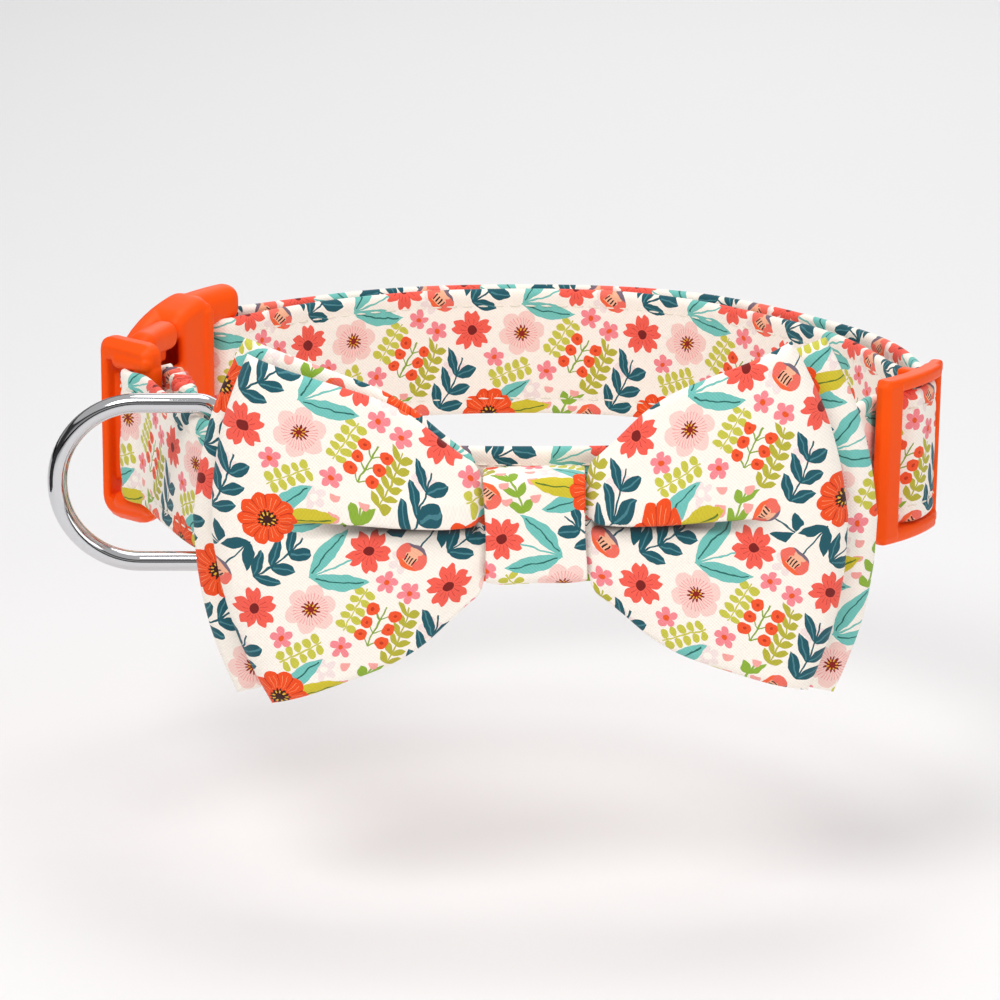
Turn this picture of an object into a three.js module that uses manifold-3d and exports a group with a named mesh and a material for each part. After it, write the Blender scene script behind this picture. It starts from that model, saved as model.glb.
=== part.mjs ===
// Pet bow tie collar: a printed cloth strap with a curved side-release buckle, a three-bar
// slider, a D-ring and a two-layer bow held on by two elastic bands.
//
// Millimetres. +Z is up along the middle of the neck loop, +X is right, -Y is the front, where
// the bow is. The origin is the middle of the neck loop, halfway up the strap.

import * as THREE from 'three';
import { mergeVertices } from 'three/addons/utils/BufferGeometryUtils.js';
import Module from 'manifold-3d';

const wasm = await Module();
wasm.setup();

// ---- Driving dimensions ----

const strapWidth = 25; // one-inch webbing
const strapThickness = 2.2;
const gap = 0.35; // clearance between pieces that touch
const degree = Math.PI / 180;

// Curved buckle socket: it bends round this centre, and angles grow towards its mouth.
const socket = {
  centre: { x: -16.6, y: -9.3 },
  radius: 60,
  halfThickness: 4.5,
  wall: 1.8,
  end: 129.5,
  bar: 132.5,
  barRoom: 2.4, // clear radius round the bar that the strap folds over
  slotEnd: 139,
  tabEnd: 156,
  mouth: 166.5,
  halfHeight: 15.5,
  mouthHalfHeight: 13,
  slotHalfHeight: 13.3,
  railHeight: 14.7, // from the middle to each rail's middle
  railHalfDepth: 3.1,
  railHalfHeight: 3.7,
};

// Buckle insert: a flat frame for the strap, turned from the socket by the buckle's bend.
const insert = {
  nearBar: { x: -75.3, y: 0.6 }, // the bar next to the socket's mouth
  heading: -40, // degrees from +X, from the near bar to the end bar
  pitch: 8.5, // between the middles of the two bars
  nearBarWidth: 3,
  endBarWidth: 5,
  endBarThickness: 3.2,
  endBarRoom: 2.6, // clear radius of the strap's fold, at the end bar's inner edge
  thickness: 5,
  halfHeight: 17.4,
  windowHalfHeight: 13.3,
  cornerRadius: 4,
};

// Three-bar slider, bent round its own centre.
const slider = {
  centre: { x: 38, y: 4 },
  radius: 40,
  start: -45,
  nearBar: -42.8,
  middleBar: -30,
  middleBarDepth: 3, // how far the middle bar sits inside the radius
  middleBarRoom: 1.5,
  barHalf: 2.3, // degrees of arc on each side of an outer bar's middle
  foldThickness: 1.6, // the strap's end, flattened where it folds round the middle bar
  farBar: -17.2,
  end: -14.5,
  inner: 3, // how far it reaches inside and outside its radius
  outer: 2,
  barInner: 0.5, // the outer bars reach this far inside the radius
  halfHeight: 15.3,
  windowHalfHeight: 13,
};

// D-ring: round wire, its straight bar upright in the strap's fold.
const ring = {
  bar: { x: -54, y: -37 },
  height: 0.2, // the ring rests a little high in the fold
  wireRadius: 1.8,
  arcRadius: 14.9, // to the middle of the wire
  straight: 14.8,
  cornerRadius: 2.4,
};

// Bow: its middle, and how far it is turned in its own plane.
const bow = {
  middle: { x: 2.7, y: -57.8 },
  tilt: 1.5, // degrees, the left wing lower; the back layer hangs nearly level
  backTilt: 0.1,
  clothThickness: 2.4,
  knotWidth: 17.8,
  knotHalfHeight: 10.1,
  knotWall: 1.1,
};

// ---- Materials ----

const printedCloth = new THREE.MeshStandardMaterial({ color: 0xfff3e2, roughness: 0.9, metalness: 0 });
const orangePlastic = new THREE.MeshStandardMaterial({ color: 0xff5a20, roughness: 0.38, metalness: 0 });
const chromedSteel = new THREE.MeshStandardMaterial({ color: 0xd9dadc, roughness: 0.12, metalness: 1 });
const elasticCloth = new THREE.MeshStandardMaterial({ color: 0xf4efe6, roughness: 0.85, metalness: 0 });

// ---- Joining and cutting ----

function solidFrom(geometry) {
  const bare = geometry.clone();
  bare.deleteAttribute('normal');
  bare.deleteAttribute('uv');
  const merged = mergeVertices(bare, 1e-4);
  return new wasm.Manifold(new wasm.Mesh({
    numProp: 3,
    vertProperties: new Float32Array(merged.attributes.position.array),
    triVerts: new Uint32Array(merged.index.array),
  }));
}

function geometryFrom(solid) {
  const mesh = solid.getMesh();
  const geometry = new THREE.BufferGeometry();
  geometry.setAttribute('position', new THREE.BufferAttribute(mesh.vertProperties, 3));
  geometry.setIndex(new THREE.BufferAttribute(mesh.triVerts, 1));
  return geometry;
}

function joined(geometries) {
  return geometries.map(solidFrom).reduce((whole, piece) => whole.add(piece));
}

function cut(solid, geometries) {
  return geometries.map(solidFrom).reduce((rest, piece) => rest.subtract(piece), solid);
}

// ---- Shapes that several pieces use ----

// An upright prism of a plan shape, from -halfHeight to +halfHeight.
function upright(shape, halfHeight, curveSegments = 8) {
  const settings = { depth: 2 * halfHeight, bevelEnabled: false, curveSegments };
  return new THREE.ExtrudeGeometry(shape, settings).translate(0, 0, -halfHeight);
}

function onArc(arc, radius, angle) {
  const turn = angle * degree;
  return new THREE.Vector2(
    arc.centre.x + radius * Math.cos(turn),
    arc.centre.y + radius * Math.sin(turn),
  );
}

// A plan shape between two radii and two angles of an arc.
function arcBand(arc, innerRadius, outerRadius, from, to) {
  const shape = new THREE.Shape();
  const { x, y } = arc.centre;
  shape.absarc(x, y, outerRadius, from * degree, to * degree, false);
  shape.absarc(x, y, innerRadius, to * degree, from * degree, true);
  shape.closePath();
  return shape;
}

// A rectangle with round corners, centred on the origin.
function roundedRectangle(width, height, radius) {
  const right = width / 2 - radius;
  const top = height / 2 - radius;
  const shape = new THREE.Shape();
  shape.absarc(right, -top, radius, -Math.PI / 2, 0, false);
  shape.absarc(right, top, radius, 0, Math.PI / 2, false);
  shape.absarc(-right, top, radius, Math.PI / 2, Math.PI, false);
  shape.absarc(-right, -top, radius, Math.PI, 1.5 * Math.PI, false);
  shape.closePath();
  return shape;
}

// A plan ribbon of even thickness along a smooth line through the given points.
function ribbon(points, thickness, steps) {
  const line = new THREE.SplineCurve(points.map(({ x, y }) => new THREE.Vector2(x, y)));
  const left = [];
  const right = [];
  for (let step = 0; step <= steps; step += 1) {
    const middle = line.getPoint(step / steps);
    const along = line.getTangent(step / steps);
    const side = new THREE.Vector2(-along.y, along.x).multiplyScalar(thickness / 2);
    left.push(middle.clone().add(side));
    right.push(middle.clone().sub(side));
  }
  return new THREE.Shape([...left, ...right.reverse()]);
}

// The fold of a strap round a bar: a half ring, open towards `facing` degrees.
function foldRound(centre, reach, facing, thickness = strapThickness) {
  const arc = { centre };
  return arcBand(arc, reach - thickness / 2, reach + thickness / 2, facing + 88, facing + 272);
}

// Reads one column of a table of rows at a place, easing between the rows.
function fromTable(rows, key, column, place) {
  const last = rows.length - 1;
  if (place <= rows[0][key]) return rows[0][column];
  if (place >= rows[last][key]) return rows[last][column];
  const next = rows.findIndex((row) => row[key] > place);
  const before = rows[next - 1];
  const after = rows[next];
  const share = (place - before[key]) / (after[key] - before[key]);
  return THREE.MathUtils.lerp(before[column], after[column], share);
}

// ---- Strap ----

function buildStrap() {
  const half = strapThickness / 2;
  // A point beside a bar, on the side that faces `side` degrees.
  const beside = (bar, reach, side) => ({
    x: bar.x + reach * Math.cos(side * degree),
    y: bar.y + reach * Math.sin(side * degree),
  });
  const endReach = insert.endBarRoom + half;
  const ringReach = ring.wireRadius + gap + half;
  const socketBar = onArc(socket, socket.radius, socket.bar);
  const socketReach = socket.barRoom + half;
  const middleReach = slider.middleBarRoom + slider.foldThickness / 2;

  const foldMiddle = beside(insert.nearBar, insert.pitch - 1, insert.heading);
  const pastEndBar = beside(insert.nearBar, insert.pitch + 3.2, insert.heading);
  const outward = insert.heading - 90; // the strap's outer side where it folds
  const barUnder = slider.radius - 1 - gap - half;
  const foldTop = slider.radius - slider.middleBarDepth + slider.middleBarRoom + slider.foldThickness;
  const barOver = foldTop + 0.05 + half;

  // Outer layer of the front, from the buckle's end bar to the slider's far bar.
  const front = [
    beside(foldMiddle, endReach, outward),
    beside(pastEndBar, endReach + 0.6, outward),
    { x: -63.8, y: -24.5 },
    beside(ring.bar, ringReach, 218),
    { x: -45, y: -48 },
    { x: -34, y: -52.2 },
    { x: -18, y: -55.1 },
    { x: 0, y: -56 },
    { x: 18, y: -55.1 },
    { x: 34, y: -51.6 },
    { x: 47, y: -44.8 },
    { x: 57, y: -35 },
    onArc(slider, barUnder - 0.4, slider.start - 2),
    onArc(slider, barUnder, slider.nearBar),
    onArc(slider, barUnder + 0.3, slider.nearBar + slider.barHalf),
    onArc(slider, barOver - 0.5, slider.middleBar - 4),
    onArc(slider, barOver, slider.middleBar),
    onArc(slider, barOver - 0.5, slider.middleBar + 4),
    onArc(slider, barUnder + 0.3, slider.farBar - slider.barHalf),
    onArc(slider, barUnder, slider.farBar),
  ];

  // Inner layer of the sewn end, from the end bar past the D-ring's bar.
  const sewnEnd = [
    beside(foldMiddle, endReach, outward + 180),
    beside(pastEndBar, endReach, outward + 180),
    { x: -59.5, y: -21.5 },
    beside(ring.bar, ringReach, 38),
    { x: -45.4, y: -43.8 },
    { x: -38, y: -48.8 },
  ];

  // The two layers of the back, between the slider's far bar and the socket's bar.
  const socketSide = socket.bar;
  const outerBack = [
    onArc(slider, barUnder, slider.farBar),
    { x: 73.6, y: 2 },
    { x: 71, y: 12 },
    { x: 65.5, y: 22.5 },
    { x: 57, y: 32.5 },
    { x: 46, y: 43 },
    { x: 35, y: 50.5 },
    { x: 20, y: 55.8 },
    { x: 3, y: 57.5 },
    { x: -14, y: 56.6 },
    { x: -30, y: 52.8 },
    { x: -43, y: 46.6 },
    beside(socketBar, socketReach, socketSide),
  ];
  const innerBack = [
    beside(socketBar, socketReach, socketSide + 180),
    { x: -47, y: 38.6 },
    { x: -36, y: 45.5 },
    { x: -20, y: 51.8 },
    { x: -3, y: 54 },
    { x: 14, y: 53.2 },
    { x: 27, y: 49.2 },
    { x: 38, y: 42.6 },
    { x: 49, y: 33 },
    { x: 57, y: 24.5 },
    { x: 63, y: 14.5 },
    { x: 68, y: 3 },
    onArc(slider, barUnder - strapThickness, slider.farBar),
    onArc(slider, slider.radius - slider.middleBarDepth - middleReach, slider.middleBar - 0.5),
  ];

  const middleBar = onArc(slider, slider.radius - slider.middleBarDepth, slider.middleBar);
  const plans = [
    ribbon(front, strapThickness, 70),
    ribbon(sewnEnd, strapThickness, 16),
    ribbon(outerBack, strapThickness, 40),
    ribbon(innerBack, strapThickness, 44),
    foldRound(foldMiddle, endReach, insert.heading),
    foldRound(socketBar, socketReach, socketSide - 90),
    foldRound(middleBar, middleReach, slider.middleBar + 90, slider.foldThickness),
  ];
  const cloth = joined(plans.map((plan) => upright(plan, strapWidth / 2)));

  // Clear room round each bar that the strap folds over.
  const roomRound = (centre, radius) => new THREE.CylinderGeometry(radius, radius, 2 * strapWidth, 20)
    .rotateX(Math.PI / 2)
    .translate(centre.x, centre.y, 0);
  return geometryFrom(cut(cloth, [
    roomRound(foldMiddle, insert.endBarRoom),
    roomRound(ring.bar, ring.wireRadius + gap),
    roomRound(socketBar, socket.barRoom),
    roomRound(middleBar, slider.middleBarRoom),
  ]));
}

// ---- Buckle ----

function buildSocket() {
  const { radius, halfThickness, wall, end, bar, slotEnd, tabEnd, mouth } = socket;
  const inner = radius - halfThickness;
  const outer = radius + halfThickness;
  const rail = (height) => {
    const points = [];
    for (let angle = end; angle <= tabEnd - 1; angle += (tabEnd - 1 - end) / 12) {
      const place = onArc(socket, radius, angle);
      points.push(new THREE.Vector3(place.x, place.y, height));
    }
    const { railHalfDepth, railHalfHeight } = socket;
    const section = new THREE.Shape().absellipse(0, 0, railHalfDepth, railHalfHeight, 0, 2 * Math.PI);
    const path = new THREE.CatmullRomCurve3(points);
    return new THREE.ExtrudeGeometry(section, { steps: 12, curveSegments: 7, extrudePath: path });
  };
  const shell = joined([
    upright(arcBand(socket, inner, outer, slotEnd, tabEnd), socket.halfHeight, 10),
    upright(arcBand(socket, inner, outer, tabEnd - 1, mouth), socket.mouthHalfHeight, 10),
    rail(socket.railHeight),
    rail(-socket.railHeight),
  ]);
  const hollow = cut(shell, [
    upright(arcBand(socket, inner + wall, outer - wall, slotEnd + 4, mouth + 2), 11.5, 12),
    upright(arcBand(socket, inner + wall, outer - wall, tabEnd, mouth + 2), 20, 8),
    upright(arcBand(socket, inner - 5, outer + 5, end - 2, slotEnd), socket.slotHalfHeight, 6),
  ]);
  const barBand = arcBand(socket, radius - 1.5, radius + 1.5, bar - 1.3, bar + 1.3);
  return geometryFrom(hollow.add(solidFrom(upright(barBand, socket.slotHalfHeight + 0.5, 3))));
}

function buildInsert() {
  // The frame is drawn upright from the near bar's outer edge, then turned to its heading.
  const { nearBarWidth, endBarWidth, pitch, thickness, halfHeight, windowHalfHeight } = insert;
  const length = nearBarWidth / 2 + pitch + endBarWidth / 2;
  const middle = length / 2 - nearBarWidth / 2;
  const windowWidth = pitch - nearBarWidth / 2 - endBarWidth / 2;
  const windowMiddle = nearBarWidth / 2 + windowWidth / 2;
  const outline = roundedRectangle(length, 2 * halfHeight, insert.cornerRadius);
  const window = roundedRectangle(windowWidth, 2 * windowHalfHeight, 1).getPoints(4);
  outline.holes.push(new THREE.Path(window.map(({ x, y }) => (
    new THREE.Vector2(x + windowMiddle - middle, y)))));
  const stand = (geometry) => geometry
    .rotateX(Math.PI / 2)
    .rotateZ(insert.heading * degree)
    .translate(insert.nearBar.x, insert.nearBar.y, 0);
  const settings = { depth: thickness, bevelEnabled: false, curveSegments: 5 };
  const frame = stand(new THREE.ExtrudeGeometry(outline, settings).translate(middle, 0, -thickness / 2));

  // The end bar is thinner than the frame, so the folded strap lies nearly flush.
  const trimDepth = 2;
  const trim = (side) => stand(new THREE.BoxGeometry(endBarWidth + 2, 2 * windowHalfHeight, trimDepth)
    .translate(pitch + 0.9, 0, side * (insert.endBarThickness + trimDepth) / 2));

  const inner = socket.radius - 2.3;
  const outer = socket.radius + 2.3;
  const neck = upright(arcBand(socket, inner, outer, 162, 170.5), 10.6, 4);
  const guide = upright(arcBand(socket, inner, outer, 147, 164), 1.8, 6);
  const arm = (side) => upright(arcBand(socket, inner, outer, 150, 164), 1.6, 6)
    .translate(0, 0, side * 9);
  const tab = (side) => upright(arcBand(socket, inner, outer, 157.5, 165), 4.4, 5)
    .translate(0, 0, side * 12.4);
  const body = joined([frame, neck, guide, arm(1), arm(-1), tab(1), tab(-1)]);
  return geometryFrom(cut(body, [trim(1), trim(-1)]));
}

// ---- Slider ----

function buildSlider() {
  const { radius, start, nearBar, middleBar, farBar, end, barHalf, windowHalfHeight } = slider;
  const inner = radius - slider.inner;
  const outer = radius + slider.outer;
  const body = solidFrom(upright(arcBand(slider, inner, outer, start, end), slider.halfHeight, 12));
  const windowBand = (from, to, low, high) => (
    upright(arcBand(slider, low, high, from, to), windowHalfHeight, 6));
  const reach = 3;
  const open = cut(body, [
    windowBand(nearBar + barHalf, farBar - barHalf, inner - reach, outer + reach),
    windowBand(start - reach, nearBar + barHalf + 0.1, inner - reach, radius - slider.barInner),
    windowBand(farBar - barHalf - 0.1, end + reach, inner - reach, radius - slider.barInner),
  ]);
  const barRadius = radius - slider.middleBarDepth;
  const bar = arcBand(slider, barRadius - 0.9, barRadius + 0.9, middleBar - 1.2, middleBar + 1.2);
  return geometryFrom(open.add(solidFrom(upright(bar, windowHalfHeight + 0.5, 2))));
}

// ---- D-ring ----

function buildRing() {
  const { bar, arcRadius, cornerRadius, straight, wireRadius } = ring;
  const outline = new THREE.Path();
  outline.moveTo(0, 2);
  outline.lineTo(0, arcRadius - cornerRadius);
  outline.absarc(-cornerRadius, arcRadius - cornerRadius, cornerRadius, 0, Math.PI / 2, false);
  outline.absarc(-straight, 0, arcRadius, Math.PI / 2, 1.5 * Math.PI, false);
  outline.absarc(-cornerRadius, cornerRadius - arcRadius, cornerRadius, -Math.PI / 2, 0, false);
  outline.lineTo(0, -2);
  const points = outline.getSpacedPoints(72).map(({ x, y }) => new THREE.Vector3(x, 0, y));
  const section = new THREE.Shape().absarc(0, 0, wireRadius, 0, 2 * Math.PI);
  const bend = new THREE.ExtrudeGeometry(section, {
    steps: 52,
    curveSegments: 5,
    extrudePath: new THREE.CatmullRomCurve3(points),
  });
  const straightBar = new THREE.CylinderGeometry(wireRadius, wireRadius, 2 * 4, 10).rotateX(Math.PI / 2);
  return geometryFrom(joined([bend, straightBar])).translate(bar.x, bar.y, ring.height);
}

// ---- Bow ----

// Half height of a wing at each distance from the bow's middle.
const wingHeights = [
  { out: 0, half: 7.8 },
  { out: 10.5, half: 8 },
  { out: 12, half: 13.2 },
  { out: 15, half: 16.1 },
  { out: 20, half: 20.6 },
  { out: 25, half: 23.8 },
  { out: 31, half: 26.3 },
  { out: 48, half: 32.2 },
];

// How far a wing's outer edge bulges past its corners, by share of its height from the middle.
const wingEdges = [
  { share: 0, past: 8.6 },
  { share: 0.3, past: 7.6 },
  { share: 0.6, past: 5.4 },
  { share: 0.85, past: 2.3 },
  { share: 1, past: 0 },
];

// One layer of the bow: a cloth wall whose middle is pinched and whose wings bulge forwards.
// lean shifts the top corners to the left, flare spreads the bottom corners, and drop lowers the wings.
function buildBowLayer({ halfWidth, height, middleDepth, wingDepth, bulge, pleat, lean, flare, drop }) {
  const corner = halfWidth - wingEdges[0].past;
  const scale = corner / wingHeights[wingHeights.length - 1].out;
  const knotShare = (bow.knotWidth / 2 + 2.4) / corner;
  const layer = new THREE.BoxGeometry(2, 1, 2, 28, 1, 10);
  const place = layer.attributes.position;
  for (let index = 0; index < place.count; index += 1) {
    const across = place.getX(index);
    const up = place.getZ(index);
    const share = Math.abs(across);
    const past = fromTable(wingEdges, 'share', 'past', Math.abs(up));
    const out = share * corner + past * share ** 4;
    const half = height * fromTable(wingHeights, 'out', 'half', Math.min(out, corner) / scale);
    const wing = Math.max(0, (share - knotShare) / (1 - knotShare)); // 0 inside the knot
    const swell = bulge * Math.sin(Math.PI * Math.sqrt(wing)) * Math.cos(up * 1.2);
    const fold = pleat * Math.tanh(up * 6) * Math.sin(Math.PI * Math.sqrt(wing));
    const depth = THREE.MathUtils.lerp(middleDepth, wingDepth, wing ** 2) + swell + fold;
    const shift = lean * wing * (up + 1) / 2;
    const y = place.getY(index) * bow.clothThickness - depth;
    const width = out - flare * up * wing;
    place.setXYZ(index, Math.sign(across) * width - shift, y, up * half - drop * wing);
  }
  return layer;
}

// The knot: a cloth band right round the pinched middle, from the strap to the front.
function buildKnot() {
  const depth = 9.4;
  const outline = roundedRectangle(depth, 2 * bow.knotHalfHeight, 2.4);
  const room = roundedRectangle(depth - 2 * bow.knotWall, 2 * (bow.knotHalfHeight - bow.knotWall), 0.6);
  outline.holes.push(new THREE.Path(room.getPoints(4)));
  const settings = { depth: bow.knotWidth, bevelEnabled: false, curveSegments: 5 };
  return new THREE.ExtrudeGeometry(outline, settings)
    .translate(0, 0, -bow.knotWidth / 2)
    .rotateX(Math.PI / 2)
    .rotateZ(Math.PI / 2)
    .translate(0, -depth / 2, 0);
}

// An elastic band round the strap behind a wing, `along` from the front's middle.
function buildElastic(place, heading) {
  const wall = 1;
  const behind = strapThickness / 2 + 0.8;
  const before = strapThickness / 2 + 2.6;
  const halfHeight = strapWidth / 2 + 0.5;
  const outline = roundedRectangle(behind + before + 2 * wall, 2 * (halfHeight + wall), 1.6);
  const room = roundedRectangle(behind + before, 2 * halfHeight, 0.8);
  outline.holes.push(new THREE.Path(room.getPoints(3)));
  const width = 8;
  return new THREE.ExtrudeGeometry(outline, { depth: width, bevelEnabled: false, curveSegments: 4 })
    .translate(-(before - behind) / 2, 0, -width / 2)
    .rotateX(Math.PI / 2)
    .rotateZ(Math.PI / 2 + heading * degree)
    .translate(place.x, place.y, 0);
}

// ---- The collar ----

function named(name, geometry, material) {
  const mesh = new THREE.Mesh(geometry, material);
  mesh.name = name;
  return mesh;
}

const collar = new THREE.Group();
collar.add(
  named('strap', buildStrap(), printedCloth),
  named('buckle_socket', buildSocket(), orangePlastic),
  named('buckle_insert', buildInsert(), orangePlastic),
  named('slider', buildSlider(), orangePlastic),
  named('d_ring', buildRing(), chromedSteel),
  named('elastic_left', buildElastic({ x: -24, y: -54.2 }, -8), elasticCloth),
  named('elastic_right', buildElastic({ x: 24, y: -54.05 }, 10), elasticCloth),
);

const bowBack = named('bow_back', buildBowLayer({
  halfWidth: 61,
  height: 1.02,
  middleDepth: 3.1,
  wingDepth: -2.2,
  bulge: 0.8,
  pleat: 0,
  lean: 0,
  flare: 1.1,
  drop: 0.8,
}), printedCloth);
bowBack.rotation.y = (bow.tilt - bow.backTilt) * degree;

const bowTie = new THREE.Group();
bowTie.position.set(bow.middle.x, bow.middle.y, 0);
bowTie.rotation.y = -bow.tilt * degree;
bowTie.add(
  bowBack,
  named('bow_front', buildBowLayer({
    halfWidth: 56.4,
    height: 1,
    middleDepth: 6.1,
    wingDepth: 7.5,
    bulge: 2.2,
    pleat: 0.9,
    lean: 2,
    flare: 0,
    drop: 0,
  }), printedCloth),
  named('bow_knot', buildKnot(), printedCloth),
);
collar.add(bowTie);

export default collar;
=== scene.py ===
import math

import bmesh
import bpy
from mathutils import Matrix, Vector, noise


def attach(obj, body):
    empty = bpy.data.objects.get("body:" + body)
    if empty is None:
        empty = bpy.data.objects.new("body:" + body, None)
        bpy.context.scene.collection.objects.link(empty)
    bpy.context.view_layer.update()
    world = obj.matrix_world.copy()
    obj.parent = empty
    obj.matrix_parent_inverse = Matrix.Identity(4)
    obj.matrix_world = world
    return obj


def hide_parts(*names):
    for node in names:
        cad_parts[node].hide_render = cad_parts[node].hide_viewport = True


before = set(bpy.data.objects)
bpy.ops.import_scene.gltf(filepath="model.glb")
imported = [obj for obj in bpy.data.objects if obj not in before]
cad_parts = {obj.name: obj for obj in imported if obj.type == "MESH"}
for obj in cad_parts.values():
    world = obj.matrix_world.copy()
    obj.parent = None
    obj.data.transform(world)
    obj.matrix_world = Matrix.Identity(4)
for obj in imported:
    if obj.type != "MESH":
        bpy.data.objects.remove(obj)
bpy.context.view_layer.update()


# ---- Studio ----
# The collar is held up as a neck holds it, over a plain pale floor. Large soft lamps in front
# and above light it evenly, and darker card beyond them gives the chrome something to show.

MM = 0.001  # sizes are written in millimetres and kept in metres
EYE_DISTANCE = 1144.6 * MM
EYE_ELEVATION = math.radians(16.0)
EYE_DROP = math.radians(0.679)  # the eye aims a little under the middle of the loop
EYE_TURN = math.radians(0.196)
LAMPS = [  # name, place in metres, width in metres, power in watts
    ("key_lamp", (-0.26, -0.5, 0.62), 0.34, 2.55),
    ("fill_lamp", (0.42, -0.6, 0.25), 0.5, 1.0),
    ("top_lamp", (0.05, 0.1, 0.75), 0.5, 1.9),
    ("back_lamp", (0.1, 0.8, 0.4), 0.6, 1.2),
]
FLOOR_DROP = 75 * MM  # under the middle of the loop
# How bright the room's reflection is, from straight below (0) to straight above (1).
ROOM_GREYS = [(0.44, 0.75), (0.46, 0.03), (0.56, 0.02), (0.58, 0.65),
              (0.67, 0.5), (0.69, 0.06), (0.74, 0.06), (0.76, 1.0)]


def placed(name, data):
    """An object in the scene that shows the data."""
    made = bpy.data.objects.new(name, data)
    bpy.context.scene.collection.objects.link(made)
    return made


def surface(name, roughness=0.5):
    """A material, and its Principled shader to be given its colour."""
    made = bpy.data.materials.new(name)
    made.use_nodes = True
    skin = made.node_tree.nodes["Principled BSDF"]
    skin.inputs["Roughness"].default_value = roughness
    return made, skin


def ink(code):
    """A print colour from its six-digit code, as scene-linear red, green, blue and alpha."""
    parts = [int(code[at:at + 2], 16) / 255 for at in (0, 2, 4)]
    return [part / 12.92 if part <= 0.04045 else ((part + 0.055) / 1.055) ** 2.4 for part in parts] + [1]


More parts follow.
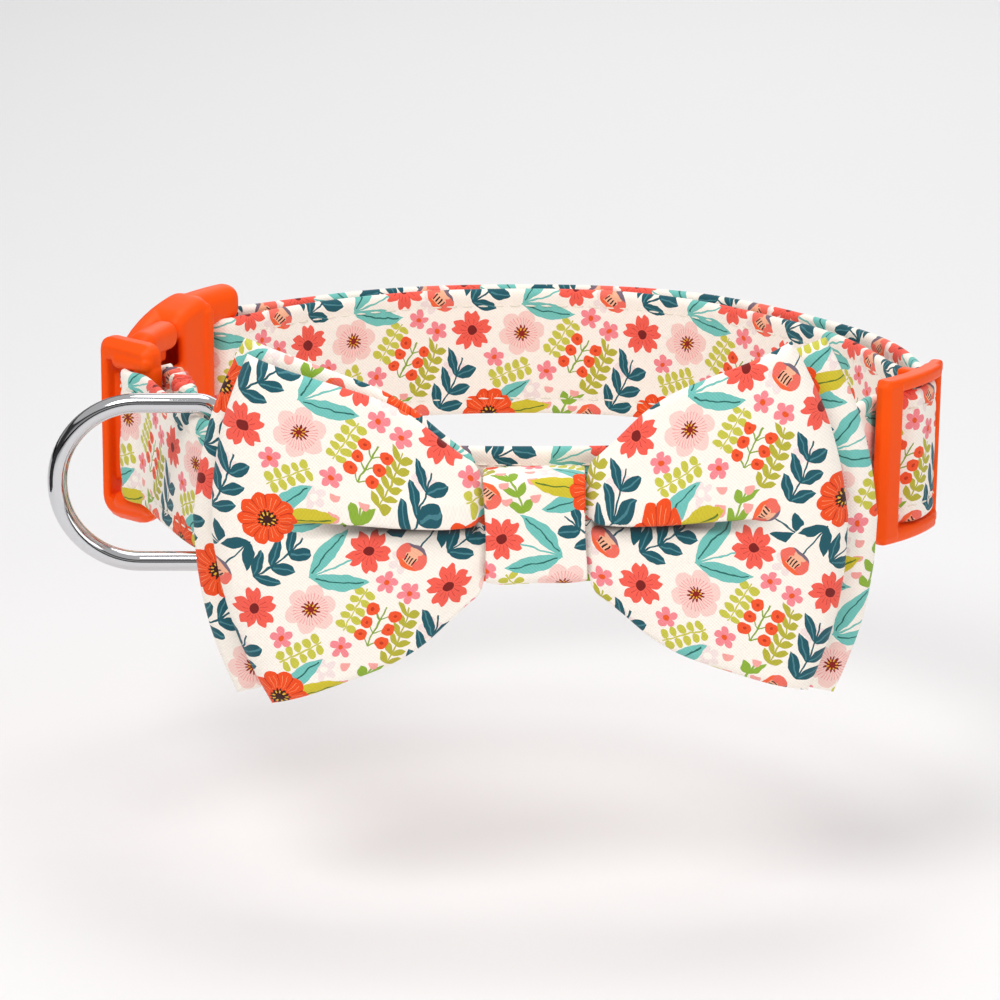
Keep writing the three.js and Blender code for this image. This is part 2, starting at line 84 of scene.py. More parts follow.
class Pen:
    """Adds nodes to one tree, in the order that they are drawn."""

    def __init__(self, tree):
        self.tree = tree
        self.colour = None

    def node(self, kind, values=(), **settings):
        made = self.tree.nodes.new(kind)
        for name, value in settings.items():
            setattr(made, name, value)
        for place, value in dict(values).items():
            socket = made.inputs[place]
            if isinstance(value, bpy.types.NodeSocket):
                self.tree.links.new(value, socket)
            else:
                socket.default_value = value
        return made

    def num(self, step, *values, clamp=False):
        return self.node("ShaderNodeMath", enumerate(values), operation=step, use_clamp=clamp).outputs[0]

    def vec(self, step, *values):
        made = self.node("ShaderNodeVectorMath", enumerate(values), operation=step)
        return made.outputs["Value" if step in ("LENGTH", "DISTANCE", "DOT_PRODUCT") else "Vector"]

    def split(self, place):
        made = self.node("ShaderNodeSeparateXYZ", {0: place})
        return made.outputs[0], made.outputs[1]

    def join(self, across, up):
        return self.node("ShaderNodeCombineXYZ", {0: across, 1: up}).outputs[0]

    def turned(self, place, angle):
        return self.node("ShaderNodeVectorRotate", {"Vector": place, "Angle": angle},
                         rotation_type="Z_AXIS").outputs[0]

    def scaled(self, place, factor):
        return self.node("ShaderNodeVectorMath", {0: place, "Scale": factor}, operation="SCALE").outputs[0]

    def paint(self, under, mask, over):
        return self.node("ShaderNodeMix", {"Factor": mask, 6: under, 7: over}, data_type="RGBA").outputs[2]

    def lay(self, mask, code):
        """Lays one ink over what is drawn so far, where the mask is 1."""
        self.colour = self.paint(self.colour, mask, ink(code))

    def mottle(self, place, scale, detail):
        return self.node("ShaderNodeTexNoise", {"Vector": place, "Scale": scale, "Detail": detail}).outputs["Fac"]

    def coordinates(self):
        return self.node("ShaderNodeTexCoord").outputs["Object"]

    def dress(self, skin, colour, roughness=None, bump=None):
        """Leads a colour, and perhaps a roughness and a bump, into a material's shader. The bump is
        its height, its strength and its depth in metres."""
        self.tree.links.new(colour, skin.inputs["Base Color"])
        if roughness:
            self.tree.links.new(roughness, skin.inputs["Roughness"])
        if bump:
            height, strength, depth = bump
            made = self.node("ShaderNodeBump", {"Strength": strength, "Distance": depth, "Height": height})
            self.tree.links.new(made.outputs["Normal"], skin.inputs["Normal"])

    def either(self, first, second):
        return self.num("MAXIMUM", first, second)

    def both(self, first, second):
        return self.num("MULTIPLY", first, second)

    def near(self, value, middle, reach):
        return self.num("COMPARE", value, middle, reach)

    def under(self, value, limit):
        return self.num("LESS_THAN", value, limit)

    def over(self, value, limit):
        return self.num("GREATER_THAN", value, limit)

    def between(self, value, low, high):
        return self.both(self.over(value, low), self.under(value, high))

    def size(self, value):
        return self.num("ABSOLUTE", value)

    def rays(self, turn, count):
        """A wave round a middle, with its crests at even turns."""
        return self.num("COSINE", self.num("MULTIPLY", turn, count))

    def spot(self, place, spots, middle=0.0):
        """Coordinates about one of the spots (x, y, heading in degrees), along its heading: the spot
        whose motif is nearest, when a motif's middle lies that far along the heading."""
        chosen, turn, least = None, None, None
        for x, y, heading in spots:
            bearing = math.radians(heading)
            core = (x + middle * math.cos(bearing), y + middle * math.sin(bearing), 0)
            here = self.vec("WRAP", self.vec("SUBTRACT", place, core), (HALF,) * 3, (-HALF,) * 3)
            away = self.vec("DOT_PRODUCT", here, here)
            if chosen is None:
                chosen, turn, least = here, -bearing, away
                continue
            nearer = self.under(away, least)
            least = self.num("MINIMUM", away, least)
            chosen = self.node("ShaderNodeMix", {"Factor": nearer, 4: chosen, 5: here},
                               data_type="VECTOR").outputs[1]
            turn = self.node("ShaderNodeMix", {"Factor": nearer, 2: turn, 3: -bearing},
                             data_type="FLOAT").outputs[0]
        return self.vec("ADD", self.turned(chosen, turn), (middle, 0, 0))

    def leaf(self, along, across, length, half_width, bow=0.0):
        """Mask of a leaf from 0 to length along its stem, and the mask of its vein."""
        share = self.num("MULTIPLY", along, 1 / length)
        arch = self.num("MULTIPLY", share, self.num("SUBTRACT", 1.0, share))
        spine = self.num("MULTIPLY", arch, 4 * bow) if bow else 0.0
        blade = self.near(across, spine, self.num("MULTIPLY", arch, 4 * half_width))
        vein = self.both(self.near(across, spine, 0.13), self.over(arch, 0.08))
        return blade, vein

    def sprig(self, place, pitch, count, length, half_width, spread, bend=0.0, stem=0.16):
        """Masks of the paired leaves on a stem, and of the stem."""
        along, across = self.split(place)
        if bend:
            across = self.num("MULTIPLY_ADD", self.num("MULTIPLY", along, along), -bend, across)
        inside = self.between(along, 0.0, pitch * count)
        step = self.join(self.num("FLOORED_MODULO", along, pitch), self.size(across))
        leaf_along, leaf_across = self.split(self.turned(step, -math.radians(spread)))
        blade, vein = self.leaf(leaf_along, leaf_across, length, half_width)
        twig = self.both(self.near(across, 0.0, stem), inside)
        return self.both(blade, inside), twig, self.both(vein, inside)

    def flower(self, place, petals, radius, wave, power=1.0):
        """Distance from the middle, the turn about it and the petals' mask."""
        across, up = self.split(place)
        out = self.vec("LENGTH", place)
        turn = self.num("ARCTAN2", up, across)
        scallop = self.size(self.rays(turn, petals / 2))
        if power != 1.0:
            scallop = self.num("POWER", scallop, power)
        edge = self.num("MULTIPLY_ADD", scallop, wave, radius - wave)
        return out, turn, self.under(out, edge), scallop


camera_data = bpy.data.cameras.new("camera")
camera_data.lens = 220.8
camera_data.sensor_width = 36.0
camera = placed("camera", camera_data)
camera.location = (0, -EYE_DISTANCE * math.cos(EYE_ELEVATION), EYE_DISTANCE * math.sin(EYE_ELEVATION))
camera.rotation_euler = (math.radians(90) - EYE_ELEVATION - EYE_DROP, 0, EYE_TURN)
bpy.context.scene.camera = camera
bpy.context.scene.view_settings.view_transform = "Standard"

for name, place, size, power in LAMPS:
    light = bpy.data.lights.new(name, "AREA")
    light.shape = "DISK"
    light.size = size
    light.energy = power
    lamp = placed(name, light)
    lamp.location = place
    lamp.rotation_euler = (-Vector(place)).to_track_quat("-Z", "Y").to_euler()

# The room is pale above and below, with dark card round the horizon that only reflections see.
world = bpy.data.worlds.new("studio")
world.use_nodes = True
bpy.context.scene.world = world
backdrop = world.node_tree.nodes["Background"]
backdrop.inputs["Strength"].default_value = 0.58
pen = Pen(world.node_tree)
direction = pen.node("ShaderNodeTexCoord").outputs["Generated"]
height = pen.node("ShaderNodeSeparateXYZ", {0: direction}).outputs["Z"]
card = pen.node("ShaderNodeValToRGB", {"Fac": pen.num("MULTIPLY_ADD", height, 0.5, 0.5)})
card.color_ramp.elements[0].color = (0.9, 0.9, 0.92, 1)
card.color_ramp.elements[1].color = (1.0, 1.0, 1.0, 1)
for position, grey in ROOM_GREYS:
    card.color_ramp.elements.new(position).color = (grey, grey, grey, 1)
mirrored = pen.node("ShaderNodeLightPath").outputs["Is Glossy Ray"]
shown = pen.paint((0.93, 0.93, 0.96, 1), mirrored, card.outputs["Color"])
pen.tree.links.new(shown, backdrop.inputs["Color"])


def panel(name, half_width, turn, place, colour, roughness):
    """A square sheet that isn't part of the collar."""
    mesh = bmesh.new()
    bmesh.ops.create_grid(mesh, x_segments=1, y_segments=1, size=half_width)
    bmesh.ops.rotate(mesh, verts=mesh.verts, cent=(0, 0, 0), matrix=Matrix.Rotation(math.radians(turn), 3, "Y"))
    bmesh.ops.translate(mesh, verts=mesh.verts, vec=place)
    data = bpy.data.meshes.new(name)
    mesh.to_mesh(data)
    mesh.free()
    paint, skin = surface(name + "_paint", roughness)
    skin.inputs["Base Color"].default_value = colour
    data.materials.append(paint)
    return placed(name, data)


floor = panel("floor", 4.0, 0, (0, 0, -FLOOR_DROP), (0.86, 0.85, 0.84, 1), 0.7)
# A dark card on the left gives the ring's wire a dark line; only reflections see it.
dark_card = panel("dark_card", 0.09, 90, (-0.26, -0.09, 0.02), (0.015, 0.015, 0.017, 1), 0.5)
dark_card.visible_camera = False
dark_card.visible_diffuse = False
dark_card.visible_shadow = False


# ---- Printed cotton ----
# One cream cotton, printed with small flowers, leaves and berries, covers the strap and makes
# the bow. The print repeats every 34 mm both ways, and its inks are flat with drawn veins.

REPEAT = 34.0  # mm
HALF = REPEAT / 2
THREAD = 0.33  # mm from one thread to the next


def node_group(name, outputs):
    """An empty shader node group that is given cloth coordinates: its pen and those coordinates."""
    tree = bpy.data.node_groups.new(name, "ShaderNodeTree")
    tree.interface.new_socket("Cloth", in_out="INPUT", socket_type="NodeSocketVector")
    for label, kind in outputs:
        tree.interface.new_socket(label, in_out="OUTPUT", socket_type=kind)
    pen = Pen(tree)
    return pen, pen.node("NodeGroupInput").outputs["Cloth"]


def flower_print():
    """The print: cloth coordinates in millimetres go in, and the printed colour comes out."""
    pen, given = node_group("flower_print", [("Color", "NodeSocketColor")])
    wobble = pen.node("ShaderNodeTexNoise", {"Vector": given, "Scale": 0.45, "Detail": 1.0})
    place = pen.vec("ADD", given, pen.scaled(pen.vec("SUBTRACT", wobble.outputs["Color"], (0.5,) * 3), 0.9))
    flat = pen.vec("MULTIPLY", place, (1, 1, 0))
    pen.colour = ink("FFF6EA")

    # Ghost flowers and specks, printed pale under the rest.
    ghost = pen.spot(flat, [(25.0, 9.0, 10), (20.5, 22.5, 50), (6.0, 4.5, 30)])
    out, _, petals, _ = pen.flower(ghost, 5, 2.3, 1.2)
    pen.lay(pen.both(petals, pen.over(out, 0.7)), "F7E4DF")

    # Fern sprigs in olive.
    fern = pen.spot(flat, [(16.8, 4.1, 52)], 5.5)
    leaves, stem, _ = pen.sprig(fern, 1.8, 6, 2.9, 0.62, 48, bend=0.02)
    pen.lay(pen.either(leaves, stem), "B9B23A")

    # Bead sprigs in yellow green.
    beads = pen.spot(flat, [(14.4, 18.5, 236.5), (5.9, 9.6, 202.4)], 4.2)
    along, across = pen.split(beads)
    inside = pen.between(along, 0.0, 8.4)
    step = pen.join(pen.num("FLOORED_MODULO", along, 1.68), pen.size(across))
    bead = pen.under(pen.vec("LENGTH", pen.vec("MULTIPLY", pen.vec(
        "SUBTRACT", step, (0.84, 1.1, 0)), (1.0, 0.72, 0))), 0.68)
    stem = pen.near(across, 0.0, 0.14)
    pen.lay(pen.both(inside, pen.either(bead, stem)), "CBC74A")

    # Green branches with pink buds.
    branch = pen.spot(flat, [(11.0, 29.6, 82.4)], 4.8)
    leaves, stem, _ = pen.sprig(branch, 3.1, 3, 3.4, 0.7, 38, bend=-0.03, stem=0.2)
    pen.lay(pen.either(leaves, stem), "8FB23A")
    along, across = pen.split(branch)
    bud_step = pen.join(pen.num("FLOORED_MODULO", along, 3.1), pen.size(across))
    bud = pen.under(pen.vec("DISTANCE", bud_step, (2.75, 2.55, 0)), 0.95)
    bud = pen.both(bud, pen.between(along, 0.0, 9.6))
    pen.lay(bud, "F9A9A0")

    # Dark teal sprigs.
    teal = pen.spot(flat, [(28.5, 22.5, 22.7), (21.7, 0.9, 52.2)], 6)
    leaves, stem, vein = pen.sprig(teal, 3.7, 3, 5.3, 1.05, 42, bend=0.02, stem=0.17)
    pen.lay(pen.either(leaves, stem), "1F5964")
    pen.lay(vein, "47818A")

    # Aqua leaves in pairs, with a dark vein.
    aqua = pen.spot(flat, [(31.8, 33.7, 11), (4.4, 21.7, 18.3)], 5)
    along, across = pen.split(aqua)
    stem = pen.both(pen.near(across, 0.0, 0.17), pen.near(along, 4.5, 4.6))
    pair = pen.turned(pen.join(along, pen.size(across)), -math.radians(29))
    blade, vein = pen.leaf(*pen.split(pair), 10.6, 1.6, bow=0.5)
    pen.lay(pen.either(blade, stem), "74C4BA")
    pen.lay(vein, "2C6B62")

    # Mustard leaves, with a dark vein.
    mustard = pen.spot(flat, [(31.8, 33.7, 9)], 6)
    blade, vein = pen.leaf(*pen.split(mustard), 12.2, 1.9, bow=-0.3)
    pen.lay(blade, "D3C233")
    pen.lay(vein, "5E7A2C")

    # Berries on a forked green twig.
    berries = pen.spot(flat, [(13.7, 7.9, 60)], 4)
    along, across = pen.split(berries)
    inside = pen.between(along, 0.0, 7.8)
    step_along = pen.num("FLOORED_MODULO", along, 2.6)
    side = pen.size(across)
    fork = pen.both(pen.near(side, pen.num("MULTIPLY", step_along, 1.0), 0.17),
                    pen.under(side, 2.0))
    twig = pen.either(fork, pen.near(across, 0.0, 0.16))
    pen.lay(pen.both(inside, twig), "8AA637")
    ball = pen.vec("DISTANCE", pen.join(step_along, side), (1.55, 2.1, 0))
    pen.lay(pen.both(inside, pen.under(ball, 1.16)), "F4572C")
    pen.lay(pen.both(inside, pen.under(ball, 0.3)), "C93A1C")

    # Tulips: a stem with two dark leaves, coral petals round a peach cup.
    tulip = pen.spot(flat, [(23.7, 27.3, 136.9), (28.5, 29.0, 224.1)], 5.2)
    along, across = pen.split(tulip)
    stem = pen.both(pen.near(across, 0.0, 0.16), pen.near(along, 3.5, 3.6))
    blade, _ = pen.leaf(*pen.split(pen.turned(
        pen.join(along, pen.size(across)), -math.radians(35))), 5.6, 1.0)
    pen.lay(pen.either(stem, blade), "1F5964")
    head = pen.vec("SUBTRACT", tulip, (8.6, 0, 0))
    cup = pen.under(pen.vec("LENGTH", pen.vec("MULTIPLY", head, (1.0, 0.72, 0))), 2.15)
    pen.lay(cup, "F4705F")
    cup_along, cup_across = pen.split(head)
    heart = pen.both(cup, pen.near(cup_across, 0.0, pen.num(
        "MULTIPLY_ADD", pen.size(pen.num("COSINE", pen.num("MULTIPLY", cup_along, 2.4))), 0.5, 0.75)))
    pen.lay(heart, "FBB894")
    pen.lay(pen.both(cup, pen.over(cup_along, 1.25)), "F9683C")
    row = pen.near(pen.num("FLOORED_MODULO", cup_across, 0.62), 0.31, 0.13)
    tip = pen.both(pen.near(cup_along, 0.45, 0.65), pen.near(cup_across, 0.0, 1.2))
    pen.lay(pen.both(row, tip), "33201F")
    calyx = pen.both(cup, pen.under(cup_along, -1.45))
    pen.lay(calyx, "7A6A78")

    # Small pink flowers with an orange eye.
    small = pen.spot(flat, [(17.8, 19.1, 0), (32.9, 11.0, 20), (21.6, 16.6, 40), (9.2, 8.3, 10)])
    out, _, petals, _ = pen.flower(small, 5, 2.05, 1.15, 0.6)
    pen.lay(petals, "F88C93")
    pen.lay(pen.under(out, 0.5), "EE5A22")

    # Pale pink flowers with a spiked dark eye.
    pale = pen.spot(flat, [(4.3, 15.9, 12)])
    out, turn, petals, _ = pen.flower(pale, 6, 4.6, 1.3, 0.7)
    pen.lay(petals, "FBD3C9")
    streak = pen.over(pen.rays(turn, 30.0), 0.72)
    streak = pen.both(streak, pen.near(out, 2.2, 0.9))
    pen.lay(pen.both(petals, streak), "F39A98")
    spike = pen.num("MULTIPLY_ADD", pen.rays(turn, 12.0), 0.34, 1.3)
    pen.lay(pen.under(out, spike), "8E2119")
    pen.lay(pen.both(pen.near(out, 0.8, 0.22), pen.over(pen.rays(turn, 8.0), 0.3)), "F2B23C")

    # Coral flowers with heart-shaped petals.
    coral = pen.spot(flat, [(15.0, 25.2, 54), (28.5, 16.5, 20)])
    out, turn, petals, scallop = pen.flower(coral, 5, 4.15, 2.3, 0.55)
    notch = pen.num("MULTIPLY_ADD", pen.num("POWER", scallop, 26.0), -0.85, 4.15)
    pen.lay(pen.both(petals, pen.under(out, notch)), "F6604F")
    line = pen.both(petals, pen.both(pen.under(pen.size(pen.rays(turn, 7.5)), 0.2), pen.near(out, 1.75, 0.6)))
    pen.lay(line, "D03A33")
    pen.lay(pen.under(out, 0.95), "7E1D1A")

    # Large orange flowers with pale lines along their petals.
    large = pen.spot(flat, [(31.8, 33.7, 0)])
    out, turn, petals, scallop = pen.flower(large, 10, 5.2, 0.75, 0.7)
    pen.lay(petals, "F4501C")
    line = pen.under(pen.size(pen.rays(turn, 15.0)), 0.13)
    line = pen.both(line, pen.both(petals, pen.near(out, 3.1, 1.15)))
    pen.lay(line, "FFB07C")
    gap = pen.both(petals, pen.both(pen.under(scallop, 0.24), pen.over(out, 2.2)))
    pen.lay(gap, "C93410")
    spike = pen.num("MULTIPLY_ADD", pen.rays(turn, 14.0), 0.22, 1.62)
    pen.lay(pen.under(out, spike), "3F1A14")
    pen.lay(pen.both(pen.near(out, 1.1, 0.26), pen.over(pen.rays(turn, 9.0), 0.35)), "F3B733")

    pen.node("NodeGroupOutput", {"Color": pen.colour})
    return pen.tree


def plain_weave():
    """Fine crossed threads: cloth coordinates in millimetres go in, and height and shade come out. The shade is
    partly painted shade, darker in the low spots between raised threads, and partly the slubbed yarn's own tone.
    """
    pen, given = node_group("plain_weave", [("Height", "NodeSocketFloat"), ("Shade", "NodeSocketFloat")])
    across, up = pen.split(pen.scaled(given, math.pi / THREAD))
    crossing = pen.both(pen.num("SINE", across), pen.num("SINE", up))
    slub = pen.mottle(given, 1.6, 2.0)
    height = pen.num("MULTIPLY_ADD", slub, 0.5, crossing)
    # Painted shade between the raised threads, plus yarn tone that varies with the slubs.
    shade = pen.num("MULTIPLY_ADD", crossing, 0.05, pen.num("MULTIPLY_ADD", slub, 0.1, 0.925))
    pen.node("NodeGroupOutput", {"Height": height, "Shade": shade})
    return pen.tree


PRINT = flower_print()
WEAVE = plain_weave()


def printed_cotton(name, shift, painted_fold_shade=False):
    """The printed cloth of one piece, with its print shifted in millimetres."""
    made, skin = surface(name, 0.88)
    skin.inputs["Specular IOR Level"].default_value = 0.25
    skin.inputs["Sheen Weight"].default_value = 0.12
    pen = Pen(made.node_tree)
    drawn = pen.node("ShaderNodeUVMap", uv_map="cloth").outputs["UV"]
    place = pen.vec("MULTIPLY_ADD", drawn, (1000, 1000, 0), (*shift, 0))
    printed = pen.node("ShaderNodeGroup", node_tree=PRINT)
    weave = pen.node("ShaderNodeGroup", node_tree=WEAVE)
    for group in (printed, weave):
        pen.tree.links.new(place, group.inputs["Cloth"])
    shaded = pen.node("ShaderNodeMix", {"Factor": 1.0, 6: printed.outputs["Color"], 7: weave.outputs["Shade"]},
                      data_type="RGBA", blend_type="MULTIPLY").outputs[2]
    if painted_fold_shade:  # painted shade: the cloth is darker deep in a fold
        depth = pen.node("ShaderNodeAttribute", attribute_name="crease").outputs["Fac"]
        shaded = pen.paint(shaded, pen.num("MULTIPLY", depth, 0.88), ink("3A2A26"))
    pen.dress(skin, shaded, bump=(weave.outputs["Height"], 0.35, 0.08 * MM))
    return made


def finished(name, mesh, material, body):
    """Turns a bmesh into a smooth-shaded piece of the collar that rides on a body."""
    data = bpy.data.meshes.new(name)
    mesh.to_mesh(data)
    mesh.free()
    data.materials.append(material)
    data.shade_smooth()
    piece = placed(name, data)
    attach(piece, body)
    return piece


def eased(rows, place):
    """Reads a table of (place, value) rows along a smooth curve through them."""
    if place <= rows[0][0]:
        return rows[0][1]
    if place >= rows[-1][0]:
        return rows[-1][1]
    at = next(step for step in range(1, len(rows)) if rows[step][0] > place)
    (x0, y0), (x1, y1) = rows[at - 1], rows[at]
    before = rows[max(at - 2, 0)]
    after = rows[min(at + 1, len(rows) - 1)]
    width = x1 - x0
    slope0 = (y1 - before[1]) / (x1 - before[0]) * width
    slope1 = (after[1] - y0) / (after[0] - x0) * width
    t = (place - x0) / width
    return ((2 * t ** 3 - 3 * t ** 2 + 1) * y0 + (t ** 3 - 2 * t ** 2 + t) * slope0
            + (3 * t ** 2 - 2 * t ** 3) * y1 + (t ** 3 - t ** 2) * slope1)


# ---- Strap ----
# Cotton webbing 25 mm wide, wrapped in the printed cloth and topstitched 3.3 mm from both edges.
# It is one ribbon from the sewn fold at the buckle, round the back twice, to the slider.

STRAP_WIDTH = 25.0
STRAP_THICKNESS = 2.0
STITCH_LINE, STITCH_PITCH = 9.3, 3.1  # from the middle of the strap, and along it

SOCKET_MIDDLE, SOCKET_RADIUS, SOCKET_BAR = (-16.6, -9.3), 60.0, 132.5
SLIDER_MIDDLE, SLIDER_RADIUS = (38.0, 4.0), 40.0
SLIDER_BARS = (-42.8, -30.0, -17.2)
INSERT_BAR, INSERT_HEADING = (-75.3, 0.6), -40.0
RING_BAR = (-54.0, -37.0)


def arc_point(middle, radius, angle):
    return Vector((middle[0] + radius * math.cos(math.radians(angle)),
                   middle[1] + radius * math.sin(math.radians(angle))))


def turn_round(middle, radius, start, end, steps=6):
    """Points round a bar, from one heading to another."""
    return [arc_point(middle, radius, start + (end - start) * step / steps) for step in range(steps + 1)]


def evened(line, pitch):
    """Evenly spaced points along a line of points, and the line's length."""
    travelled = [0.0]
    for here, following in zip(line, line[1:]):
        travelled.append(travelled[-1] + (following - here).length)
    count = int(travelled[-1] / pitch)
    points, at = [], 0
    for step in range(count + 1):
        goal = travelled[-1] * step / count
        while at < len(line) - 2 and travelled[at + 1] < goal:
            at += 1
        share = (goal - travelled[at]) / max(travelled[at + 1] - travelled[at], 1e-9)
        points.append(line[at].lerp(line[at + 1], share))
    return points, travelled[-1]


def smooth_route(points, pitch):
    """Evenly spaced points along a smooth line through the given ones, and its length."""
    fine = []
    last = len(points) - 1
    for at in range(last):
        p0, p1, p2, p3 = (points[min(max(at + shift, 0), last)] for shift in (-1, 0, 1, 2))
        for step in range(16):
            t = step / 16
            fine.append(0.5 * (2 * p1 + (p2 - p0) * t + (2 * p0 - 5 * p1 + 4 * p2 - p3) * t * t
                               + (3 * p1 - p0 - 3 * p2 + p3) * t ** 3))
    fine.append(points[-1].copy())
    return evened(fine, pitch)


fold_middle = arc_point(INSERT_BAR, 7.5, INSERT_HEADING)
past_end_bar = arc_point(INSERT_BAR, 11.7, INSERT_HEADING)
socket_bar = arc_point(SOCKET_MIDDLE, SOCKET_RADIUS, SOCKET_BAR)
middle_bar = arc_point(SLIDER_MIDDLE, SLIDER_RADIUS - 3.0, SLIDER_BARS[1])
UNDER, OVER = SLIDER_RADIUS - 2.45, SLIDER_RADIUS + 1.25
strap_points = [Vector(point) for point in (
    (-38.0, -48.8), (-45.4, -43.8), arc_point(RING_BAR, 3.25, 38), (-59.5, -21.5),
    arc_point(past_end_bar, 3.7, INSERT_HEADING + 90),
    *turn_round(fold_middle, 3.7, INSERT_HEADING + 90, INSERT_HEADING + 270),
    arc_point(past_end_bar, 4.3, INSERT_HEADING - 90), (-63.8, -24.5), arc_point(RING_BAR, 3.25, 218),
    (-45, -48), (-34, -52.2), (-18, -55.1), (0, -56), (18, -55.1),
    (34, -51.6), (47, -44.8), (57, -35),
    arc_point(SLIDER_MIDDLE, UNDER - 0.4, -47), arc_point(SLIDER_MIDDLE, UNDER, SLIDER_BARS[0]),
    arc_point(SLIDER_MIDDLE, UNDER + 0.3, SLIDER_BARS[0] + 2.3), arc_point(SLIDER_MIDDLE, OVER - 0.5, -34),
    arc_point(SLIDER_MIDDLE, OVER, -30), arc_point(SLIDER_MIDDLE, OVER - 0.2, -25),
    arc_point(SLIDER_MIDDLE, OVER - 1.0, -21), arc_point(SLIDER_MIDDLE, UNDER + 0.5, SLIDER_BARS[2]),
    (73.6, 2), (71, 12), (65.5, 22.5), (57, 32.5), (46, 43),
    (35, 50.5), (20, 55.8), (3, 57.5), (-14, 56.6), (-30, 52.8),
    (-43, 46.6),
    *turn_round(socket_bar, 3.5, SOCKET_BAR, SOCKET_BAR + 180),
    (-47, 38.6), (-36, 45.5), (-20, 51.8), (-3, 54), (14, 53.2),
    (27, 49.2), (38, 42.6), (49, 33), (57, 24.5), (63, 14.5),
    (68, 3), arc_point(SLIDER_MIDDLE, UNDER - 2.2, SLIDER_BARS[2]),
    *turn_round(middle_bar, 2.4, SLIDER_BARS[1] + 180, SLIDER_BARS[1] + 350),
)]
strap_route, strap_length = smooth_route(strap_points, 0.6)


def crowded(place, power):
    """A place from -1 to 1, moved towards the nearer end."""
    return math.copysign(1 - (1 - abs(place)) ** power, place)


def lay_flat(faces, layer, on_cloth):
    """Writes where each corner of the faces lies on the flat cloth."""
    for face in faces:
        for loop in face.loops:
            loop[layer].uv = on_cloth[loop.vert]


def route_place(route, at):
    """The place on a route and its left side, for a position counted in steps."""
    at = min(max(at, 0.0), len(route) - 1.001)
    low = int(at)
    along = (route[min(low + 2, len(route) - 1)] - route[max(low - 1, 0)]).normalized()
    return route[low].lerp(route[low + 1], at - low), Vector((-along.y, along.x))


def cloth_wall(columns, rows, shape, flat, crease=None):
    """A closed wall of cloth from a grid of places from -1 to 1 both ways: shape(across, up, side)
    gives each point of its two faces in millimetres, flat(across, up) where it lies on the flat
    cloth, and crease(across, up) how deep it is in a fold, from 0 to 1, kept for painted shade."""
    mesh = bmesh.new()
    cloth = mesh.loops.layers.uv.new("cloth")
    folded = mesh.verts.layers.float.new("crease")
    bmesh.ops.create_grid(mesh, x_segments=columns, y_segments=rows, size=1.0)
    face_verts = mesh.verts[:]
    places = [(vertex.co.x, vertex.co.y) for vertex in face_verts]
    on_cloth = {vertex: Vector(flat(*place)) * MM for vertex, place in zip(face_verts, places)}
    lay_flat(mesh.faces, cloth, on_cloth)
    copy = bmesh.ops.duplicate(mesh, geom=mesh.verts[:] + mesh.edges[:] + mesh.faces[:])
    bmesh.ops.reverse_faces(mesh, faces=[item for item in copy["geom"] if isinstance(item, bmesh.types.BMFace)])
    twins = [copy["vert_map"][vertex] for vertex in face_verts]
    on_cloth.update({twin: on_cloth[vertex] for vertex, twin in zip(face_verts, twins)})
    for vertex, twin, (across, up) in zip(face_verts, twins, places):
        vertex.co = Vector(shape(across, up, 1)) * MM
        twin.co = Vector(shape(across, up, -1)) * MM
        # How deep in a fold each point lies, which the material turns into painted shade.
        if crease:
            vertex[folded] = twin[folded] = crease(across, up)
    rims = [edge for edge in mesh.edges if edge.is_boundary]
    lay_flat(bmesh.ops.bridge_loops(mesh, edges=rims)["faces"], cloth, on_cloth)
    bmesh.ops.recalc_face_normals(mesh, faces=mesh.faces)
    return mesh


strap_steps = len(strap_route) - 1
gathers = (36.0, 68.0)  # the gathered stretch beside the D-ring, in millimetres along the strap


def strap_swell(travelled, height):
    """How far the strap's faces stand off their even thickness, in millimetres."""
    line = abs(abs(height) - STITCH_LINE)
    groove = -0.26 * math.exp(-(line / 0.6) ** 2)
    pucker = 0.08 * math.cos(travelled * 2 * math.pi / STITCH_PITCH) * math.exp(-(line / 1.6) ** 2)
    rumple = 0.24 * noise.noise(Vector((travelled * 0.13, height * 0.1, 3.7)))
    return groove + pucker + rumple


def strap_bend(travelled, height):
    """How far the whole strap stands to its left side, in millimetres."""
    inside = max(0.0, 1 - abs(travelled - sum(gathers) / 2) / (gathers[1] - gathers[0]) * 2)
    wander = noise.noise(Vector((travelled * 0.09, height * 0.12, 9.1)))
    gather = 1.15 * math.sin(travelled * 2.3 + 3.0 * wander + height * 0.06) * min(1.0, inside * 2.5)
    wave = 0.3 * noise.noise(Vector((travelled * 0.05, height * 0.03, 1.3)))
    return gather + wave


def strap_point(across, up, side):
    up = crowded(up, 1.8)
    height = up * STRAP_WIDTH / 2
    edge = max(0.0, (abs(up) - 0.9) / 0.1)
    travelled = (across + 1) / 2 * strap_length
    thick = STRAP_THICKNESS / 2 * math.sqrt(max(0.0, 1 - 0.95 * edge ** 2))
    place, left = route_place(strap_route, (across + 1) / 2 * strap_steps)
    stand = -side * (thick + strap_swell(travelled, height) * (1 - edge)) + strap_bend(travelled, height)
    place = place + left * stand
    return place.x, place.y, height


def strap_flat(across, up):
    return (across + 1) / 2 * strap_length, crowded(up, 1.8) * STRAP_WIDTH / 2


strap = finished("strap_cover", cloth_wall(strap_steps, 32, strap_point, strap_flat),
                 printed_cotton("strap_cloth", shift=(3.0, 12.0)), "collar")
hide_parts("strap")

